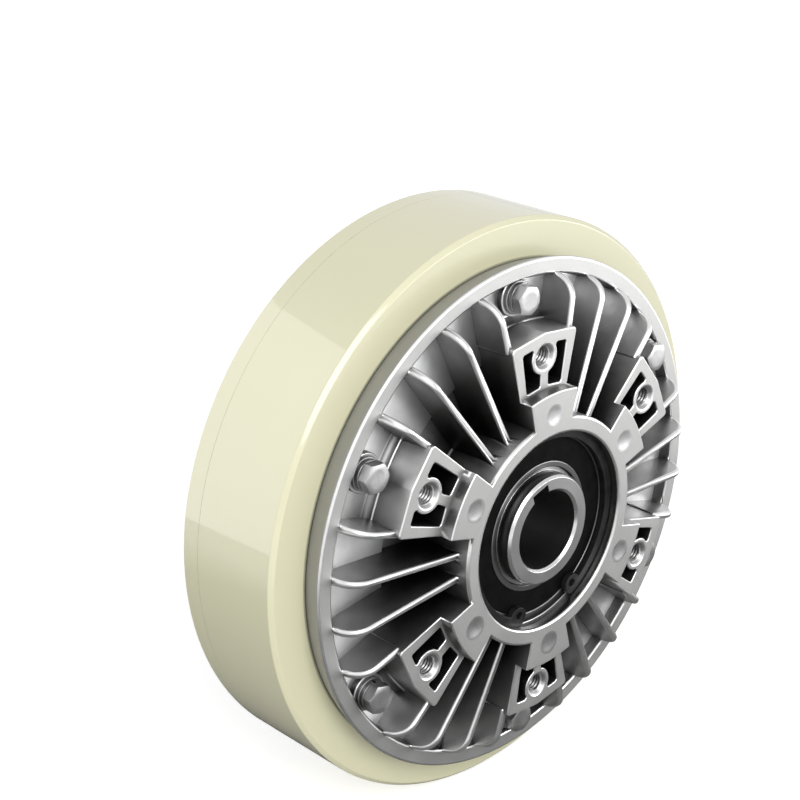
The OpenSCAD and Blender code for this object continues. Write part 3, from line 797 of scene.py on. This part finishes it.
# %% Skin over rings of points
def skin(name, rings, loop=False):
    """A closed mesh over rings of points. A loop joins the last ring to the first, else both ends are capped."""
    size = len(rings[0])
    faces = []
    for i in range(len(rings) if loop else len(rings) - 1):
        here, there = i * size, (i + 1) % len(rings) * size
        for k in range(size):
            after = (k + 1) % size
            faces.append((here + k, here + after, there + after, there + k))
    if not loop:
        faces.append(tuple(range(size)))
        faces.append(tuple(range((len(rings) - 1) * size, len(rings) * size)))
    mesh = bpy.data.meshes.new(name)
    mesh.from_pydata([point for ring in rings for point in ring], [], faces)
    shape = bmesh.new()
    shape.from_mesh(mesh)
    bmesh.ops.recalc_face_normals(shape, faces=shape.faces)
    shape.to_mesh(mesh)
    shape.free()
    mesh.shade_smooth()
    mesh.set_sharp_from_angle(angle=SHARP)
    return mesh


def round_point(radius, angle, along):
    """A point at a clockwise angle from the top, as seen from the front."""
    return (radius * math.sin(angle), along, radius * math.cos(angle))


def rounded_box(low_r, high_r, low_y, high_y, corner, steps=3):
    """Section of a ring with rounded corners, as radius and place along the axis."""
    section = []
    for centre_r, centre_y, start in (
        (high_r - corner, high_y - corner, 0), (low_r + corner, high_y - corner, 90),
        (low_r + corner, low_y + corner, 180), (high_r - corner, low_y + corner, 270),
    ):
        for i in range(steps + 1):
            turn = math.radians(start + 90 * i / steps)
            section.append((centre_r + corner * math.cos(turn), centre_y + corner * math.sin(turn)))
    return section


# %% [markdown]
# ## Cover bolts and washers
# Each bolt is a hexagon screw, cold headed and zinc plated. Turning the blank leaves a round chamfer on the head's
# face, so the hexagon's corners fall away from it at 30 degrees. Cutting a cone off a prism with a Boolean would leave
# long thin faces, so the head is a skin whose rings are hexagons below and a circle on top. Under the head lie a split
# spring washer of square section and a flat washer that was stamped, with a soft edge.

# %% Bolts
HEAD_AF = 10 * MM
HEAD_TURN = math.radians(-20)
HEAD_CHAMFER = math.radians(30)
HEAD_FACE_R = HEAD_AF * 0.49
HEAD_CORNER_R = HEAD_AF * 0.57
HEAD_COLUMNS = 72
THREAD_R = 2.97 * MM
THREAD_TIP = 0.7 * MM
CHANCE_TURN = math.radians(16)
RING_SEED = 3
WASHER_STEPS = 48
WASHER_INNER_R, WASHER_CORNER = 3.2 * MM, 0.25 * MM
SPRING_INNER_R, SPRING_CORNER, SPRING_SLIT = 3.15 * MM, 0.2 * MM, 0.9 * MM


def hexagon_radius(angle):
    """Distance to the side of a hexagon with slightly blunt corners."""
    from_flat = (angle - HEAD_TURN) % (math.pi / 3) - math.pi / 6
    return min(HEAD_AF / 2 / math.cos(from_flat), HEAD_CORNER_R)


def bolt_unit(side, tip, base, top):
    """A bolt on the Y axis. Side is -1 at the front and 1 at the rear, the heights count away from the middle."""
    fall = math.tan(HEAD_CHAMFER)

    def circle(radius, height):
        return [(radius, height)] * HEAD_COLUMNS

    angles = [math.tau * i / HEAD_COLUMNS for i in range(HEAD_COLUMNS)]
    hexagon = [hexagon_radius(a) for a in angles]
    sections = [
        circle(THREAD_R - THREAD_TIP, tip), circle(THREAD_R, tip + THREAD_TIP), circle(THREAD_R, base),
        [(radius - 0.25 * MM, base) for radius in hexagon],
        [(radius, base + 0.2 * MM) for radius in hexagon],
        [(radius, top - max(0.0, radius - HEAD_FACE_R) * fall) for radius in hexagon],
        circle(HEAD_FACE_R, top), circle(HEAD_FACE_R * 0.6, top),
    ]
    return skin("bolt_unit", [
        [round_point(radius, a, side * height) for a, (radius, height) in zip(angles, section)]
        for section in sections
    ])


def washer_unit(side, inner, outer, low, high, corner, slit=0.0):
    """A washer on the Y axis, whole or split."""
    section = rounded_box(inner, outer, low, high, corner)
    open_angle = slit / ((inner + outer) / 2)
    count = WASHER_STEPS + 1 if slit else WASHER_STEPS
    turns = [open_angle / 2 + (math.tau - open_angle) * i / WASHER_STEPS for i in range(count)]
    rings = [[round_point(radius, a, side * height) for radius, height in section] for a in turns]
    return skin("washer_unit", rings, loop=not slit)


for side, end in ((-1, "front"), (1, "rear")):
    spans = {}
    for kind in ("cover_bolts", "spring_washers", "flat_washers"):
        low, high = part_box(f"{end}_{kind}")
        spans[kind] = sorted((abs(low.y), abs(high.y)))
    tip, top = spans["cover_bolts"]
    base = spans["spring_washers"][1]
    spring = washer_unit(
        side, SPRING_INNER_R, SPRING_R, *spans["spring_washers"], corner=SPRING_CORNER, slit=SPRING_SLIT
    )
    flat = washer_unit(side, WASHER_INNER_R, WASHER_R, *spans["flat_washers"], corner=WASHER_CORNER)
    units = {
        "cover_bolts": (bolt_unit(side, tip, base, top), CHANCE_TURN),
        "spring_washers": (spring, math.tau),
        "flat_washers": (flat, 0.0),
    }
    for kind, (unit, turn) in units.items():
        node = f"{end}_{kind}"
        piece = set_in_ring(
            f"{node}_set", unit, FINISHES[SLOT_OF[node]], THREADS["count"], BOLT_RING, turn, RING_SEED
        )
        stand_for(piece, node)
        print(node, "faces", len(piece.data.polygons))

# %% [markdown]
# ## Threads in the pads
# Each pad is tapped for an M8 screw. The tap leaves a ridge that winds down the hole with a pitch of 1.25 mm. A bump
# would not show it against the light, so it is real: a low ridge with sloping flanks, swept along a helix just inside
# the hole's wall.

# %% Threads
PITCH = 1.25 * MM
RIDGE = 0.42 * MM
ROOT_SUNK = 0.06 * MM
ROOT_HALF, CREST_HALF = PITCH * 0.42, PITCH * 0.06
THREAD_START = 0.3 * MM
THREAD_DEPTH = 11 * MM
THREAD_STEPS = 24


def thread_unit(side, hole_r, top):
    """One ridge, wound from the top of the hole down. Its root is sunk a little into the hole's wall."""
    root, crest = hole_r + ROOT_SUNK, hole_r - RIDGE
    rings = []
    for i in range(round(THREAD_DEPTH / PITCH * THREAD_STEPS) + 1):
        angle = math.tau * i / THREAD_STEPS
        height = top - THREAD_START - PITCH * i / THREAD_STEPS
        section = (root, ROOT_HALF), (crest, CREST_HALF), (crest, -CREST_HALF), (root, -ROOT_HALF)
        rings.append([round_point(radius, angle, side * (height + half)) for radius, half in section])
    return skin("thread_unit", rings)


for side, end in ((-1, "front"), (1, "rear")):
    mount = MOUNTS[f"{end}_pad_threads"]
    hole_r = mount["dims"]["hole_r_mm"] * MM
    unit = thread_unit(side, hole_r, abs(mount["pos_m"][1]))
    ring_r = mount["dims"]["pcd_mm"] / 2 * MM
    piece = set_in_ring(f"{end}_threads", unit, TAPPED_PAINTED_DARK, mount["dims"]["count"], ring_r)
    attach(piece, "housing")
    print(end, "thread faces", len(piece.data.polygons))

# %% [markdown]
# ## Floor and light
# The brake stands on its ring on a plain white floor in a white room. More light would turn the floor white but also
# bleach the brake, so the floor glows for the camera's rays instead. The rays that metal or enamel mirrors see a
# painted shadow on it, darker close to the brake, and paler farther out. One soft key light in front, above and to the
# left lights everything. Two panels show only as reflections: a low one in front on the right for the metal, and one
# behind on the left that the glossy enamel mirrors.


# %% Floor and room
FLOOR_SIDE = 8.0
FLOOR_TONE = 0.80
SHADED_DROP = 0.58
SHADED_REACH = 0.30, 0.44
FADE_REACH = 0.6, 2.5
ROOM_LIGHT = 0.50
ROOM_MIRRORED = 0.90


def rays(graph):
    """1 for rays from the camera, and 1 for rays that a surface mirrors."""
    path = graph.node("ShaderNodeLightPath").socket.node
    return [Wire(graph, path.outputs[name]) for name in ("Is Camera Ray", "Is Glossy Ray")]


def white_floor():
    """Pale paint with a glow of its own, so that it shows white and still takes the brake's shadow."""
    f = Finish("white_floor")
    direct, mirrored = rays(f)
    x, y, _ = f.split(f.place())
    distance = (x * x + y * y) ** 0.5
    away = f.spread(distance, 0, 1, *SHADED_REACH)
    # painted shadow: mirrored rays see the floor darker near the brake
    tone = FLOOR_TONE - mirrored * (1 - away) * SHADED_DROP
    paint = f.node("ShaderNodeCombineColor", None, {0: tone, 1: tone, 2: tone})
    diffuse = f.node("ShaderNodeBsdfDiffuse", None, {"Color": paint})
    far = f.spread(distance, 0.60, 1.0, *FADE_REACH)
    strength = direct * far + mirrored * away * 0.4
    glow = f.node("ShaderNodeEmission", None, {"Color": grey(1.0), "Strength": strength})
    both = f.node("ShaderNodeAddShader", None, {0: diffuse, 1: glow})
    f.node("ShaderNodeOutputMaterial", None, {"Surface": both})
    return f.material


floor_mesh = bpy.data.meshes.new("floor")
half = FLOOR_SIDE / 2
floor_mesh.from_pydata(
    [(-half, -half, FLOOR_Z), (half, -half, FLOOR_Z), (half, half, FLOOR_Z), (-half, half, FLOOR_Z)],
    [], [(0, 1, 2, 3)],
)
floor_mesh.materials.append(white_floor())
floor = bpy.data.objects.new("floor", floor_mesh)
scene.collection.objects.link(floor)

world = bpy.data.worlds.new("white_room")
world.use_nodes = True
scene.world = world
world.node_tree.nodes.clear()
room = Graph(world.node_tree)
direct, mirrored = rays(room)
strength = direct * (1 - ROOM_LIGHT) + mirrored * (ROOM_MIRRORED - ROOM_LIGHT) + ROOM_LIGHT
background = room.node("ShaderNodeBackground", None, {"Color": grey(1.0), "Strength": strength})
room.node("ShaderNodeOutputWorld", None, {"Surface": background})
scene.view_settings.view_transform = "Standard"


# %% Lights
def panel(name, place, aim, size, watts, only_mirrored=False):
    """A lamp with a flat rectangle of light. One that is only mirrored lights no dull surface."""
    light = bpy.data.lights.new(name, "AREA")
    light.shape = "RECTANGLE"
    light.size, light.size_y = size
    light.energy = watts
    lamp = bpy.data.objects.new(name, light)
    lamp.location = place
    lamp.rotation_euler = (Vector(aim) - Vector(place)).to_track_quat("-Z", "Y").to_euler()
    lamp.visible_camera = False
    lamp.visible_diffuse = not only_mirrored
    scene.collection.objects.link(lamp)


panel("key_light", (-0.70, -1.46, 1.18), (0, 0, 0), (1.2, 1.2), 24)
panel("front_panel", (0.62, -0.60, 0.02), (0, -0.04, 0), (0.7, 0.30), 3.5, only_mirrored=True)
panel("mirror_panel", (-0.362, 0.478, 0.258), (0, 0, 0.258), (1.0, 0.73), 3.2, only_mirrored=True)
